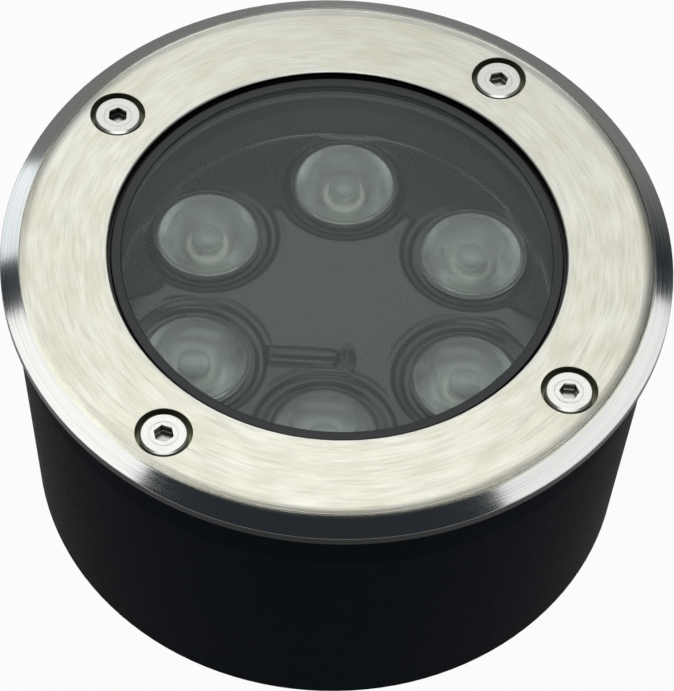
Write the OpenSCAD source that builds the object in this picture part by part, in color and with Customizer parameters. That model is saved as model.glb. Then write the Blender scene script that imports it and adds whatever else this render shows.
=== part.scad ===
// In-ground well light: a lamp unit under a stainless trim ring, hung in a black burial sleeve.
// Units are millimetres. The origin is the centre of the sleeve's base, and +Z is up.
// Depths are measured down from the face of the trim ring.

/* [Trim ring] */
// Outer diameter of the trim ring
ring_d = 150; // [146:1:200]
// Width of the ring's band, from its edge to the light opening
ring_band = 23.8; // [23:0.1:28]
// Thickness of the ring over the screws
ring_t = 5.3; // [5:0.1:7]
// Height of the plain lip below the bevel
rim_lip_h = 2; // [1.5:0.1:3]
// Drop of the turned bevel
bevel_drop = 1.7; // [0.8:0.1:1.8]
// Width of the turned bevel
bevel_w = 3.9; // [2:0.1:5]
// Drop of the rolled shoulder inside the bevel
roll_drop = 0.6; // [0.2:0.1:0.8]
// Width of the rolled shoulder
roll_w = 2.1; // [1:0.1:3]
// Depth of the rebate in the ring's underside, over the sleeve's top edge
rebate_h = 0.5; // [0.3:0.1:0.8]
// Clearance round the sleeve in the rebate
rebate_gap = 0.3; // [0.2:0.1:0.5]
// Thickness of the inner lip that holds the glass down
ring_lip_t = 1.5; // [1:0.1:2]
// Chamfer on the edge of the light opening
opening_chamfer = 0.3; // [0.1:0.1:0.5]

/* [Trim screws] */
// Number of screws in the ring
screw_count = 4; // [3:1:6]
// Angle of the first screw from +X
screw_turn = 55.9; // [0:0.1:90]
// Distance of the screws from the ring's edge
screw_inset = 12.5; // [12.2:0.1:12.8]
// Thread diameter
screw_d = 6; // [5:0.5:6]
// Thread length below the head
screw_len = 16; // [10:1:20]
// Head diameter
head_d = 10.6; // [9.5:0.1:11]
// Head height
head_h = 3; // [2.6:0.1:3.4]
// How far the head sits below the face
head_recess = 0.35; // [0.1:0.05:0.6]
// Gap between the head and its counterbore
counterbore_gap = 1; // [0.6:0.1:1]
// Hexagon socket across flats
socket_af = 4; // [3:0.5:5]
// Depth of the socket
socket_depth = 2.2; // [1.5:0.1:2.3]
// Chamfer on the head's edge
head_chamfer = 0.4; // [0.1:0.1:0.6]

/* [Glass and gasket] */
// Thickness of the glass
glass_t = 6; // [4:0.5:8]
// How far the glass goes in under the ring
glass_cover = 2.2; // [1.5:0.1:2.4]
// Thickness of the gasket's lips above and below the glass
gasket_t = 1; // [0.8:0.1:1.5]
// Thickness of the gasket's wall round the glass
gasket_wall = 1.3; // [0.8:0.1:1.4]
// How far the gasket's top lip shows inside the opening
gasket_show = 3.1; // [1:0.1:4]
// How far the gasket's bottom lip stands into the body's bore
gasket_under = 1.4; // [0.5:0.1:2]
// Gap between the gasket and its seat
gasket_gap = 0.3; // [0.1:0.1:0.4]
// Chamfer on the edges of the glass
glass_chamfer = 0.5; // [0.2:0.1:1]

/* [Lamp body] */
// How far the body's bore stands inside the light opening
bore_inset = 0.8; // [0.5:0.1:2]
// Wall of the cup
body_wall = 3.2; // [2.5:0.1:4]
// Thickness of the flange below the gasket's ledge
ledge_t = 3.8; // [3:0.1:6]
// Metal round each screw hole
boss_wall = 2.4; // [2:0.1:2.8]
// Depth of each screw hole below its boss's top
screw_hole_deep = 20; // [20:1:24]
// Height of the driver's chamber
chamber_h = 10; // [9:0.5:20]
// Width of the ledge that carries the heat plate
plate_ledge_w = 3.9; // [3:0.1:5]
// Thickness of the floor
floor_t = 3.2; // [3:0.1:6]
// Number of cooling fins
fin_count = 20; // [8:1:24]
// Thickness of a fin
fin_t = 2; // [1.5:0.1:3]
// How far a fin stands out of the cup
fin_reach = 8; // [4:0.5:9]
// How far the fins end above the cup's bottom
fin_rise = 4; // [1:0.5:8]

/* [Lenses and emitters] */
// Depth of the lens rims below the face
lens_depth = 23.7; // [21:0.5:30]
// Gap between the lenses and the body's bore
lens_wall_gap = 2.5; // [2:0.1:3]
// Gap between neighbouring lenses
lens_gap = 9.8; // [9.2:0.1:11]
// Angle of the first lens from +X
lens_turn = 88.7; // [80:0.1:100]
// Width of the flange that shows round the dome
dome_rim_w = 1.95; // [1.4:0.05:3]
// Height of the dome above the lens rim
dome_h = 4; // [2:0.1:6]
// Thickness of the lens flange
lens_flange_t = 1; // [0.8:0.1:1.5]
// Height of the lens rims above the LED board
lens_stand = 8.5; // [7.5:0.1:10]
// Diameter of the lens's foot, over its emitter
lens_foot_d = 10; // [9.6:0.1:12]
// How far the lens flange stands out past its holder
holder_inset = 0.3; // [0.2:0.1:0.7]
// Wall of a lens holder
holder_wall = 1.2; // [0.8:0.1:1.2]
// Diameter of an emitter's base
led_base_d = 8; // [7.6:0.1:9]
// Height of an emitter's base
led_base_h = 1.5; // [1:0.1:2]
// Diameter of an emitter's dome
led_dome_d = 5.2; // [4:0.1:5.6]
// Air round the emitter's dome inside the lens
led_air = 0.6; // [0.3:0.1:0.8]

/* [Resin fill] */
// Depth of the resin below the lens rims, outside the star
resin_drop = 1.2; // [1.1:0.1:2]
// Height of the star above the rest
star_h = 0.8; // [0.2:0.1:1]
// Width of the moat round each lens
moat_w = 2.2; // [1:0.1:2.4]
// Depth of the moat
moat_h = 0.7; // [0.2:0.1:1.5]
// How far the star's arms reach past the lens circle
star_reach = 6; // [1:0.5:8]
// Clearance between the resin and what it surrounds
resin_gap = 0.05; // [0.02:0.01:0.1]

/* [Boards] */
// Thickness of the LED board and the driver board
board_t = 1.6; // [1:0.1:2]
// Distance of the LED board's edge from the body's bore
led_board_inset = 2.4; // [1:0.1:4]
// Thickness of the heat plate
plate_t = 3; // [2:0.1:4]
// Clearance round the heat plate
plate_gap = 0.4; // [0.2:0.1:0.6]
// Number of screws in each board
board_screw_count = 3; // [3:1:3]
// Distance of the board screws from the body's bore
board_screw_inset = 8.4; // [7.5:0.1:9]
// Thread diameter of the board screws
board_screw_d = 3; // [2.5:0.5:3]
// Thread length of the board screws
board_screw_len = 10; // [8:1:12]
// Head diameter of the board screws
board_head_d = 5.5; // [4.5:0.1:6]
// Head height of the board screws
board_head_h = 2; // [1.5:0.1:2.4]
// Metal round the pillars' and standoffs' holes
pillar_wall = 2; // [1.5:0.1:2.5]
// Gap between the driver board and the pillars
driver_gap = 4.5; // [3.5:0.5:6.5]
// Height of the driver's standoffs
standoff_h = 2.5; // [2.5:0.1:3]
// Distance of the driver's screws from its edge
driver_screw_inset = 6; // [4.5:0.1:8]
// Thread length of the driver screws
driver_screw_len = 4; // [3:0.5:5]

/* [Cable gland] */
// Thread diameter
gland_d = 16; // [14:0.5:16]
// Pitch of the thread
gland_pitch = 1.5; // [1:0.25:1.5]
// Hexagon across flats
gland_af = 22; // [21.5:0.5:24]
// Height of the gland's hexagon
gland_hex_h = 4; // [3:0.5:5]
// Length of the thread below the hexagon
gland_stub_h = 8; // [7:0.5:9]
// Thickness of the sealing washer
washer_t = 1.2; // [1:0.1:2]
// Width of the sealing washer
washer_w = 2.8; // [2:0.1:2.8]
// Height of the nut's rounded end
nut_dome_h = 4; // [3:0.5:5]
// Thickness of the nut's shoulder under the seal
nut_shoulder_t = 3.6; // [3:0.1:4]
// Turns of the nut from slack to tight
nut_turns = 2; // [1:0.5:2]
// Hole through the rubber seal, for the cable
cable_d = 7.2; // [6:0.1:8]
// Wall of the rubber seal
seal_wall = 2.4; // [2:0.1:2.4]
// Length of the rubber seal
seal_h = 7; // [5:0.5:7]

/* [Burial sleeve] */
// Height of the sleeve
sleeve_h = 72.7; // [70:0.1:120]
// How far the ring stands out past the sleeve
ring_overhang = 2.7; // [1:0.1:3]
// Wall of the sleeve
sleeve_wall = 2.5; // [2:0.1:2.8]
// Height of the straight band at the top of the sleeve, with its chamfer
sleeve_band_h = 12.5; // [10:0.5:20]
// Draft of the sleeve below the band, on the radius
sleeve_draft = 3.3; // [0:0.1:3.5]
// Thickness of the sleeve's bottom
sleeve_floor_t = 3; // [2:0.1:4]
// Diameter of the opening in the sleeve's bottom
sleeve_opening_d = 60; // [50:1:70]
// Number of drain holes
drain_count = 6; // [3:1:10]
// Diameter of a drain hole
drain_d = 8; // [4:0.5:10]
// Clearance between the lamp unit and the sleeve
lamp_gap = 0.6; // [0.4:0.1:1]

/* [Splice and leads] */
// Diameter of the splice sleeve
splice_d = 4.8; // [3.5:0.1:5]
// Length of the splice sleeve
splice_len = 13; // [8:0.5:13]
// Diameter of a lead
lead_d = 1.8; // [1.2:0.1:2]
// Bend radius of a lead, on its centre line
lead_bend = 1.5; // [1.4:0.1:1.6]
// Resin over the leads where they run level
lead_cover = 0.2; // [0.1:0.1:0.4]

/* [Hidden] */
lens_count = 6;
lens_names = [for (i = [1:lens_count]) str("lens_", i)];
holder_names = [for (i = [1:lens_count]) str("lens_holder_", i)];
led_names = [for (i = [1:lens_count]) str("led_", i)];

// Fineness of round shapes, and the steps of a drawn arc
$fn = 96;
arc_steps = 6;
// Overrun of a cut past the face that it opens
cut = 1;
// Radial clearance of a screw in its thread, and of a screw in a through hole
thread_gap = 0.05;
through_gap = 0.3;
// Radial clearance of the seal in the gland
seal_gap = 0.2;

// Ring
ring_r = ring_d / 2;
rim_t = roll_drop + bevel_drop + rim_lip_h;
rebate_depth = rim_t - rebate_h;
face_z = sleeve_h + rebate_depth;
opening_r = ring_r - ring_band;
roll_r = (roll_w * roll_w + roll_drop * roll_drop) / (2 * roll_drop);
roll_angle = asin(roll_w / roll_r);
crease_r = ring_r - bevel_w;

// Sleeve
sleeve_r = ring_r - ring_overhang;
rebate_r = sleeve_r + rebate_gap;
sleeve_bore_r = sleeve_r - sleeve_wall;
sleeve_foot_r = sleeve_r - sleeve_draft;
flange_r = sleeve_bore_r - lamp_gap;
drain_circle_r = (sleeve_opening_d / 2 + sleeve_foot_r - sleeve_wall) / 2;

// Screws
screw_circle_r = ring_r - screw_inset;
counterbore_r = head_d / 2 + counterbore_gap;
counterbore_depth = head_recess + head_h;
boss_r = screw_d / 2 + boss_wall;
// Each screw stops at its own angle
socket_turns = [20, 5, 48, 33, 12, 41];

// Glass stack, as depths below the face
glass_r = opening_r + glass_cover;
gasket_r = glass_r + gasket_wall;
seat_r = gasket_r + gasket_gap;
glass_depth = ring_lip_t + gasket_t;
ledge_depth = glass_depth + glass_t + gasket_t;
bore_r = opening_r - bore_inset;
flange_depth = ledge_depth + ledge_t;
cup_r = bore_r + body_wall;

// Boards and chamber, as depths below the face
lens_step = 360 / lens_count;
board_depth = lens_depth + lens_stand;
plate_depth = board_depth + board_t;
chamber_depth = plate_depth + plate_t;
floor_depth = chamber_depth + chamber_h;
bottom_depth = floor_depth + floor_t;
driver_depth = floor_depth - standoff_h - board_t;
led_board_r = bore_r - led_board_inset;
plate_r = bore_r - plate_gap;
chamber_r = bore_r - plate_ledge_w;
board_screw_r = board_screw_d / 2;
pillar_r = board_screw_r + pillar_wall;
board_screw_circle_r = bore_r - board_screw_inset;
hole_spare = 0.6;
pillar_hole_deep = board_screw_len - board_t - plate_t + hole_spare;
board_screw_turn = lens_turn + lens_step / 2;
board_socket_af = 2;
driver_r = board_screw_circle_r - pillar_r - driver_gap;
driver_screw_circle_r = driver_r - driver_screw_inset;
driver_hole_deep = driver_screw_len - board_t + hole_spare;
core_hole_d = 10;

// Lenses: as large as the gaps to the bore and to each other leave room for
lens_reach_r = bore_r - lens_wall_gap;
lens_chord_share = 2 * sin(lens_step / 2);
lens_flange_r = (lens_chord_share * lens_reach_r - lens_gap) / (2 + lens_chord_share);
lens_circle_r = lens_reach_r - lens_flange_r;
dome_r = lens_flange_r - dome_rim_w;
dome_sphere_r = (dome_r * dome_r + dome_h * dome_h) / (2 * dome_h);
holder_r = lens_flange_r - holder_inset;
holder_bore_r = holder_r - holder_wall;
lens_seat_depth = lens_depth + lens_flange_t;
lens_foot_depth = board_depth - led_base_h;
led_pocket_r = led_dome_d / 2 + led_air;
lens_side_gap = 0.5;

// Resin
resin_depth = lens_depth + resin_drop;
star_depth = resin_depth - star_h;
moat_r = lens_flange_r + moat_w;
star_r = lens_circle_r + star_reach;

// Splice and leads: places in plan on the star, as shares of the lens circle
splice_share = [-0.38, -0.42];
return_share = [0.23, 0.26];
lead_r = lead_d / 2;
lead_tuck = 3;
splice_axis_depth = star_depth + lead_r + lead_cover;
splice_x = splice_share.x * lens_circle_r;
splice_y = splice_share.y * lens_circle_r;
splice_end_x = splice_x + splice_len;
return_x = return_share.x * lens_circle_r;
return_y = return_share.y * lens_circle_r;
splice_skin = 0.5;

// Driver parts, with their places in plan as shares of the board's radius
inductor_share = [0.12, -0.66];
capacitor_share = [-0.6, -0.05];
chip_share = [0.62, 0.1];
inductor_r = 6;
inductor_h = 4.5;
inductor_waist_r = 4.4;
inductor_flange_t = 0.9;
capacitor_r = 3.2;
capacitor_h = 4.4;
capacitor_pitch = 8;
chip_w = 6;
chip_h = 1.6;

// Gland, as depths below the face
gland_r = gland_d / 2;
floor_boss_h = 1.5;
floor_boss_wall = 3.5;
washer_gap = 0.2;
washer_r = gland_r + washer_gap + washer_w;
gland_top_depth = floor_depth - floor_boss_h;
gland_hex_depth = bottom_depth + washer_t;
gland_stub_depth = gland_hex_depth + gland_hex_h;
gland_end_depth = gland_stub_depth + gland_stub_h;
nut_travel = nut_turns * gland_pitch;
nut_clear = 0.2;
nut_depth = gland_stub_depth + nut_travel + nut_clear;
shoulder_depth = gland_end_depth + nut_travel + nut_clear;
nut_end_depth = shoulder_depth + nut_shoulder_t;
nut_dome_depth = nut_end_depth - nut_dome_h;
nut_mouth_rim = 1.2;
seal_r = cable_d / 2 + seal_wall;
seal_depth = shoulder_depth - seal_h;
pocket_r = seal_r + seal_gap;
pocket_depth = seal_depth - nut_travel - nut_clear;
throat_room = 0.9;
throat_r = cable_d / 2 + throat_room;

// Height of a plane that lies a depth below the face
function level(depth) = face_z - depth;

// Places its children at one of a number of equal steps round a circle
module at_step(index, count, radius, turn) {
    rotate(turn + index * 360 / count)
        translate([radius, 0, 0])
            children();
}

// Repeats its children round a circle
module ring_of(count, radius, turn) {
    for (i = [0:count - 1])
        at_step(i, count, radius, turn)
            children();
}

// A cylinder between two depths, the first one the lower
module disc(low_depth, high_depth, radius) {
    translate([0, 0, level(low_depth)])
        cylinder(h = low_depth - high_depth, r = radius);
}

// A tube between two depths
module tube(low_depth, high_depth, radius, bore) {
    difference() {
        disc(low_depth, high_depth, radius);
        disc(low_depth + cut, high_depth - cut, bore);
    }
}

// A hexagon prism between two depths
module hexagon(low_depth, high_depth, across_flats) {
    translate([0, 0, level(low_depth)])
        cylinder(h = low_depth - high_depth, r = across_flats / 2 / cos(30), $fn = 6);
}

module sleeve() {
    band_z = sleeve_h - sleeve_band_h;
    color([0.05, 0.06, 0.07])
        difference() {
            rotate_extrude()
                polygon([
                    [sleeve_opening_d / 2, 0],
                    [sleeve_foot_r, 0],
                    [sleeve_r, band_z],
                    [sleeve_r, sleeve_h - rebate_h],
                    [sleeve_r - rebate_h, sleeve_h],
                    [sleeve_bore_r, sleeve_h],
                    [sleeve_bore_r, band_z],
                    [sleeve_foot_r - sleeve_wall, sleeve_floor_t],
                    [sleeve_opening_d / 2, sleeve_floor_t]
                ]);
            ring_of(drain_count, drain_circle_r, 0)
                translate([0, 0, -cut])
                    cylinder(h = sleeve_floor_t + 2 * cut, d = drain_d);
        }
}

module trim_ring() {
    color([0.82, 0.82, 0.78])
        difference() {
            rotate_extrude()
                polygon(concat(
                    [
                        [opening_r, level(ring_lip_t)],
                        [seat_r, level(ring_lip_t)],
                        [seat_r, level(ring_t)],
                        [flange_r, level(ring_t)],
                        [flange_r, level(rebate_depth)],
                        [rebate_r, level(rebate_depth)],
                        [rebate_r, level(rim_t)],
                        [ring_r, level(rim_t)],
                        [ring_r, level(roll_drop + bevel_drop)]
                    ],
                    [for (i = [0:arc_steps])
                        let (a = roll_angle * (1 - i / arc_steps))
                        [crease_r - roll_w + roll_r * sin(a), face_z - roll_r * (1 - cos(a))]],
                    [
                        [opening_r + opening_chamfer, face_z],
                        [opening_r, level(opening_chamfer)]
                    ]));
            ring_of(screw_count, screw_circle_r, screw_turn) {
                disc(counterbore_depth, -cut, counterbore_r);
                disc(ring_t + cut, counterbore_depth - cut, screw_d / 2 + through_gap);
            }
        }
}

// One hex socket screw with its head's top just below the face
module trim_screw(socket_turn) {
    head_r = head_d / 2;
    difference() {
        union() {
            translate([0, 0, level(counterbore_depth)])
                rotate_extrude()
                    polygon([
                        [0, 0],
                        [head_r, 0],
                        [head_r, head_h - head_chamfer],
                        [head_r - head_chamfer, head_h],
                        [0, head_h]
                    ]);
            disc(counterbore_depth + screw_len, counterbore_depth, screw_d / 2);
        }
        rotate(socket_turn)
            hexagon(head_recess + socket_depth, head_recess - cut, socket_af);
    }
}

module trim_screws() {
    color([0.86, 0.86, 0.83])
        for (i = [0:screw_count - 1])
            at_step(i, screw_count, screw_circle_r, screw_turn)
                trim_screw(socket_turns[i]);
}

module glass() {
    color([0.8, 0.9, 0.9, 0.4])
        rotate_extrude()
            polygon([
                [0, level(glass_depth + glass_t)],
                [glass_r - glass_chamfer, level(glass_depth + glass_t)],
                [glass_r, level(glass_depth + glass_t - glass_chamfer)],
                [glass_r, level(glass_depth + glass_chamfer)],
                [glass_r - glass_chamfer, level(glass_depth)],
                [0, level(glass_depth)]
            ]);
}

// U-shaped ring that wraps the edge of the glass
module glass_gasket() {
    color([0.2, 0.21, 0.21])
        rotate_extrude()
            polygon([
                [bore_r - gasket_under, level(ledge_depth)],
                [gasket_r, level(ledge_depth)],
                [gasket_r, level(ring_lip_t)],
                [opening_r - gasket_show, level(ring_lip_t)],
                [opening_r - gasket_show, level(glass_depth)],
                [glass_r - glass_chamfer, level(glass_depth)],
                [glass_r, level(glass_depth + glass_chamfer)],
                [glass_r, level(glass_depth + glass_t - glass_chamfer)],
                [glass_r - glass_chamfer, level(glass_depth + glass_t)],
                [bore_r - gasket_under, level(glass_depth + glass_t)]
            ]);
}

module lamp_body() {
    fin_low = bottom_depth - fin_rise;
    boss_low = ring_t + screw_hole_deep + boss_wall;
    color([0.35, 0.36, 0.37])
        difference() {
            union() {
                rotate_extrude()
                    polygon([
                        [0, level(bottom_depth)],
                        [cup_r, level(bottom_depth)],
                        [cup_r, level(flange_depth)],
                        [flange_r, level(flange_depth)],
                        [flange_r, level(ring_t)],
                        [seat_r, level(ring_t)],
                        [seat_r, level(ledge_depth)],
                        [bore_r, level(ledge_depth)],
                        [bore_r, level(chamber_depth)],
                        [chamber_r, level(chamber_depth)],
                        [chamber_r, level(floor_depth)],
                        [0, level(floor_depth)]
                    ]);
                ring_of(screw_count, screw_circle_r, screw_turn)
                    disc(boss_low, flange_depth - ledge_t / 2, boss_r);
                for (i = [0:fin_count - 1])
                    rotate(i * 360 / fin_count)
                        translate([cup_r - body_wall / 2, -fin_t / 2, level(fin_low)])
                            cube([body_wall / 2 + fin_reach, fin_t, fin_low - flange_depth + ledge_t / 2]);
                disc(floor_depth + floor_t / 2, gland_top_depth, gland_r + floor_boss_wall);
                ring_of(board_screw_count, board_screw_circle_r, board_screw_turn)
                    disc(floor_depth + floor_t / 2, chamber_depth, pillar_r);
                ring_of(board_screw_count, driver_screw_circle_r, lens_turn)
                    disc(floor_depth + floor_t / 2, floor_depth - standoff_h, pillar_r);
            }
            ring_of(screw_count, screw_circle_r, screw_turn)
                disc(ring_t + screw_hole_deep, ring_t - cut, screw_d / 2 + thread_gap);
            disc(bottom_depth + cut, gland_top_depth - cut, gland_r + thread_gap);
            ring_of(board_screw_count, board_screw_circle_r, board_screw_turn)
                disc(chamber_depth + pillar_hole_deep, chamber_depth - cut, board_screw_r + thread_gap);
            ring_of(board_screw_count, driver_screw_circle_r, lens_turn)
                disc(driver_depth + board_t + driver_hole_deep, driver_depth + board_t - cut,
                     board_screw_r + thread_gap);
        }
}

// One domed lens: a flange, a cone below it and a pocket over the emitter
module lens(index) {
    at_step(index, lens_count, lens_circle_r, lens_turn)
        color([0.75, 0.78, 0.76, 0.6])
            union() {
                rotate_extrude()
                    polygon([
                        [0, level(lens_foot_depth - led_pocket_r)],
                        [led_pocket_r, level(lens_foot_depth - led_pocket_r)],
                        [led_pocket_r, level(lens_foot_depth)],
                        [lens_foot_d / 2, level(lens_foot_depth)],
                        [holder_bore_r - lens_side_gap, level(lens_seat_depth)],
                        [lens_flange_r, level(lens_seat_depth)],
                        [lens_flange_r, level(lens_depth)],
                        [0, level(lens_depth)]
                    ]);
                intersection() {
                    translate([0, 0, level(lens_depth - dome_h + dome_sphere_r)])
                        sphere(r = dome_sphere_r);
                    disc(lens_seat_depth, lens_depth - dome_h - cut, dome_r);
                }
            }
}

module lens_holder(index) {
    at_step(index, lens_count, lens_circle_r, lens_turn)
        color([0.12, 0.12, 0.12])
            tube(board_depth, lens_seat_depth, holder_r, holder_bore_r);
}

module led(index) {
    at_step(index, lens_count, lens_circle_r, lens_turn)
        color([0.95, 0.9, 0.5]) {
            disc(board_depth, lens_foot_depth, led_base_d / 2);
            intersection() {
                translate([0, 0, level(lens_foot_depth)])
                    sphere(d = led_dome_d);
                disc(lens_foot_depth + led_base_h / 2, lens_foot_depth - led_dome_d, led_dome_d / 2);
            }
        }
}

// A lead that rises, then bends to run level towards +X (side 1) or -X (side -1)
module bent_lead(x, low_depth, side, radius) {
    bend_depth = splice_axis_depth + lead_bend;
    translate([x, splice_y, 0])
        disc(low_depth, bend_depth, radius);
    translate([x + side * lead_bend, splice_y, level(bend_depth)])
        mirror([side > 0 ? 1 : 0, 0, 0])
            rotate([90, 0, 0])
                rotate_extrude(angle = 90)
                    translate([lead_bend, 0])
                        circle(radius);
    translate([x + side * lead_bend, splice_y, level(splice_axis_depth)])
        rotate([0, side * 90, 0])
            cylinder(h = lead_tuck, r = radius);
}

// A lead that rises through both plates and arches over onto the LED board
module arched_lead(radius) {
    arch_depth = board_depth - lead_bend;
    translate([return_x, return_y, 0])
        disc(driver_depth, arch_depth, radius);
    translate([return_x + lead_bend, return_y, level(arch_depth)])
        rotate([90, 0, 0])
            rotate_extrude(angle = 180)
                translate([lead_bend, 0])
                    circle(radius);
    translate([return_x + 2 * lead_bend, return_y, 0])
        disc(board_depth, arch_depth, radius);
}

module feed_lead() {
    color([0.6, 0.1, 0.08])
        bent_lead(splice_x - lead_bend, driver_depth, 1, lead_r);
}

module link_lead() {
    color([0.6, 0.1, 0.08])
        bent_lead(splice_end_x + lead_bend, board_depth, -1, lead_r);
}

module return_lead() {
    color([0.08, 0.08, 0.08])
        arched_lead(lead_r);
}

// A cylinder along the splice's axis, longer than the splice by a reach at each end
module splice_rod(radius, reach) {
    translate([splice_x - reach, splice_y, level(splice_axis_depth)])
        rotate([0, 90, 0])
            cylinder(h = splice_len + 2 * reach, r = radius);
}

module splice_sleeve() {
    color([0.16, 0.17, 0.17])
        difference() {
            splice_rod(splice_d / 2, 0);
            translate([splice_x, splice_y, level(splice_axis_depth)])
                rotate([0, 90, 0])
                    for (start = [-cut, splice_len - lead_tuck])
                        translate([0, 0, start])
                            cylinder(h = lead_tuck + cut, r = lead_r);
        }
}

// Cast resin from the LED board up, with a raised star between the lenses
module resin_fill() {
    skin_r = splice_d / 2 + splice_skin;
    color([0.24, 0.27, 0.26])
        difference() {
            union() {
                difference() {
                    union() {
                        disc(board_depth, resin_depth, bore_r - resin_gap);
                        disc(resin_depth + moat_h, star_depth, star_r);
                    }
                    ring_of(lens_count, lens_circle_r, lens_turn)
                        disc(resin_depth + moat_h, star_depth - cut, moat_r);
                }
                splice_rod(skin_r, splice_skin);
            }
            ring_of(lens_count, lens_circle_r, lens_turn)
                disc(board_depth + cut, star_depth - cut, holder_r + resin_gap);
            ring_of(board_screw_count, board_screw_circle_r, board_screw_turn)
                disc(board_depth + cut, board_depth - board_head_h, board_head_d / 2);
            splice_rod(splice_d / 2, 0);
            bent_lead(splice_x - lead_bend, board_depth + cut, 1, lead_r);
            bent_lead(splice_end_x + lead_bend, board_depth + cut, -1, lead_r);
            arched_lead(lead_r);
            translate([return_x, return_y, 0])
                disc(board_depth + cut, board_depth - lead_bend, lead_r);
        }
}

// The holes that the two leads from the driver pass through
module lead_holes(low_depth, high_depth) {
    hole_r = lead_r + through_gap;
    translate([splice_x - lead_bend, splice_y, 0])
        disc(low_depth + cut, high_depth - cut, hole_r);
    translate([return_x, return_y, 0])
        disc(low_depth + cut, high_depth - cut, hole_r);
}

// A round plate between two depths, with the board screws' and the leads' holes
module drilled_plate(low_depth, high_depth, radius) {
    difference() {
        disc(low_depth, high_depth, radius);
        ring_of(board_screw_count, board_screw_circle_r, board_screw_turn)
            disc(low_depth + cut, high_depth - cut, board_screw_r + through_gap);
        lead_holes(low_depth, high_depth);
    }
}

module led_board() {
    color([0.85, 0.86, 0.84])
        drilled_plate(plate_depth, board_depth, led_board_r);
}

module heat_plate() {
    color([0.7, 0.71, 0.72])
        drilled_plate(chamber_depth, plate_depth, plate_r);
}

// A round-headed screw whose head sits on a plane at seat_depth
module pan_screw(seat_depth, length) {
    difference() {
        union() {
            disc(seat_depth, seat_depth - board_head_h, board_head_d / 2);
            disc(seat_depth + length, seat_depth, board_screw_r);
        }
        hexagon(seat_depth - board_head_h / 2, seat_depth - board_head_h - cut, board_socket_af);
    }
}

module board_screws() {
    color([0.75, 0.75, 0.72])
        ring_of(board_screw_count, board_screw_circle_r, board_screw_turn)
            pan_screw(board_depth, board_screw_len);
}

module driver_screws() {
    color([0.75, 0.75, 0.72])
        ring_of(board_screw_count, driver_screw_circle_r, lens_turn)
            pan_screw(driver_depth, driver_screw_len);
}

module driver_board() {
    low_depth = driver_depth + board_t;
    color([0.1, 0.35, 0.18])
        difference() {
            disc(low_depth, driver_depth, driver_r);
            disc(low_depth + cut, driver_depth - cut, core_hole_d / 2);
            ring_of(board_screw_count, driver_screw_circle_r, lens_turn)
                disc(low_depth + cut, driver_depth - cut, board_screw_r + through_gap);
        }
}

module driver_inductor() {
    top = driver_depth - inductor_h;
    color([0.15, 0.15, 0.16])
        translate(driver_r * [inductor_share.x, inductor_share.y, 0]) {
            disc(driver_depth, driver_depth - inductor_flange_t, inductor_r);
            disc(driver_depth, top, inductor_waist_r);
            disc(top + inductor_flange_t, top, inductor_r);
        }
}

module driver_capacitors() {
    color([0.2, 0.22, 0.35])
        for (i = [0, 1])
            translate([capacitor_share.x * driver_r, capacitor_share.y * driver_r + i * capacitor_pitch, 0])
                disc(driver_depth, driver_depth - capacitor_h, capacitor_r);
}

module driver_chip() {
    color([0.06, 0.06, 0.06])
        translate([chip_share.x * driver_r - chip_w / 2, chip_share.y * driver_r - chip_w / 2,
                   level(driver_depth)])
            cube([chip_w, chip_w, chip_h]);
}

module gland_body() {
    color([0.72, 0.7, 0.66])
        difference() {
            union() {
                disc(gland_end_depth, gland_top_depth, gland_r);
                hexagon(gland_stub_depth, gland_hex_depth, gland_af);
            }
            disc(gland_end_depth + cut, gland_top_depth - cut, throat_r);
            disc(gland_end_depth + cut, pocket_depth, pocket_r);
        }
}

module gland_washer() {
    color([0.1, 0.1, 0.1])
        tube(gland_hex_depth, bottom_depth, washer_r, gland_r + washer_gap);
}

module gland_seal() {
    color([0.12, 0.12, 0.12])
        tube(shoulder_depth, seal_depth, seal_r, cable_d / 2);
}

module gland_nut() {
    color([0.72, 0.7, 0.66])
        difference() {
            union() {
                hexagon(nut_dome_depth, nut_depth, gland_af);
                rotate_extrude()
                    polygon(concat(
                        [[0, level(nut_dome_depth)]],
                        [for (i = [0:arc_steps])
                            let (a = 90 * i / arc_steps)
                            [throat_r + nut_mouth_rim + (gland_af / 2 - throat_r - nut_mouth_rim) * cos(a),
                             level(nut_dome_depth + nut_dome_h * sin(a))]],
                        [[0, level(nut_end_depth)]]));
            }
            disc(shoulder_depth, nut_depth - cut, gland_r + thread_gap);
            disc(nut_end_depth + cut, shoulder_depth - cut, throat_r);
        }
}

sleeve();
lamp_body();
trim_ring();
trim_screws();
glass();
glass_gasket();
resin_fill();
for (i = [0:lens_count - 1]) {
    lens(i);
    lens_holder(i);
    led(i);
}
led_board();
heat_plate();
board_screws();
driver_board();
driver_inductor();
driver_capacitors();
driver_chip();
driver_screws();
feed_lead();
link_lead();
return_lead();
splice_sleeve();
gland_body();
gland_washer();
gland_seal();
gland_nut();
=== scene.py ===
"""In ground well light: materials, finer pieces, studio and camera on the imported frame."""
import math

import bmesh
import bpy
import numpy as np
from mathutils import Matrix, Vector


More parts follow.
